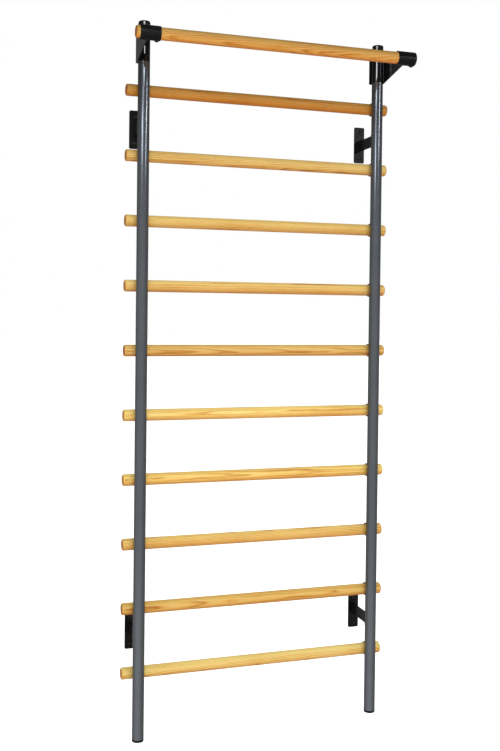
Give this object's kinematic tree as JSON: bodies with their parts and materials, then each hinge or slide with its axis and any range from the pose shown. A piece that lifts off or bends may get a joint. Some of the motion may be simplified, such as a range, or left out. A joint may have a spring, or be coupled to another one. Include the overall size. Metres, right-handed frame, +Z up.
{
  "type": "exercise wall ladder",
  "caption": "Wall-mounted exercise ladder: round steel uprights, wooden dowel rungs behind them, a wooden pull-up bar held out in front of the top, and wall plates on short arms.",
  "frame": {"origin": "on the floor, midway between the left end of the pull-up bar and the right ends of the rungs, which is 4.9 mm left of midway between the uprights, and midway between the wall and the front of the bar sockets", "axes": "+Z up along the uprights, -Y towards the person who faces the ladder, +Y into the wall, +X to that person's right"},
  "size_m": [0.9242, 0.3472, 2.3],
  "materials": {
    "upright_paint": "satin gunmetal grey powder coat",
    "bracket_paint": "satin black powder coat",
    "rung_oak": "clear satin varnish on golden oak",
    "cap_plastic": "black moulded plastic",
    "screw_steel": "black zinc-plated steel"
  },
  "bodies": {
    "root": {"rung_01": "rung_oak", "rung_ring_left_01": "upright_paint", "rung_ring_right_01": "upright_paint", "rung_02": "rung_oak", "rung_ring_left_02": "upright_paint", "rung_ring_right_02": "upright_paint", "rung_03": "rung_oak", "rung_ring_left_03": "upright_paint", "rung_ring_right_03": "upright_paint", "rung_04": "rung_oak", "rung_ring_left_04": "upright_paint", "rung_ring_right_04": "upright_paint", "rung_05": "rung_oak", "rung_ring_left_05": "upright_paint", "rung_ring_right_05": "upright_paint", "rung_06": "rung_oak", "rung_ring_left_06": "upright_paint", "rung_ring_right_06": "upright_paint", "rung_07": "rung_oak", "rung_ring_left_07": "upright_paint", "rung_ring_right_07": "upright_paint", "rung_08": "rung_oak", "rung_ring_left_08": "upright_paint", "rung_ring_right_08": "upright_paint", "rung_09": "rung_oak", "rung_ring_left_09": "upright_paint", "rung_ring_right_09": "upright_paint", "rung_10": "rung_oak", "rung_ring_left_10": "upright_paint", "rung_ring_right_10": "upright_paint", "pull_up_bar": "rung_oak", "upright_left": "upright_paint", "foot_cap_left": "cap_plastic", "bracket_post_left": "bracket_paint", "bracket_plate_left": "bracket_paint", "bar_socket_left": "bracket_paint", "socket_screw_left": "screw_steel", "spigot_screw_left": "screw_steel", "top_cap_left": "cap_plastic", "wall_plate_lower_left": "bracket_paint", "wall_arm_lower_left": "bracket_paint", "wall_plate_upper_left": "bracket_paint", "wall_arm_upper_left": "bracket_paint", "upright_right": "upright_paint", "foot_cap_right": "cap_plastic", "bracket_post_right": "bracket_paint", "bracket_plate_right": "bracket_paint", "bar_socket_right": "bracket_paint", "socket_screw_right": "screw_steel", "spigot_screw_right": "screw_steel", "top_cap_right": "cap_plastic", "wall_plate_lower_right": "bracket_paint", "wall_arm_lower_right": "bracket_paint", "wall_plate_upper_right": "bracket_paint", "wall_arm_upper_right": "bracket_paint"}
  },
  "joints": []
}
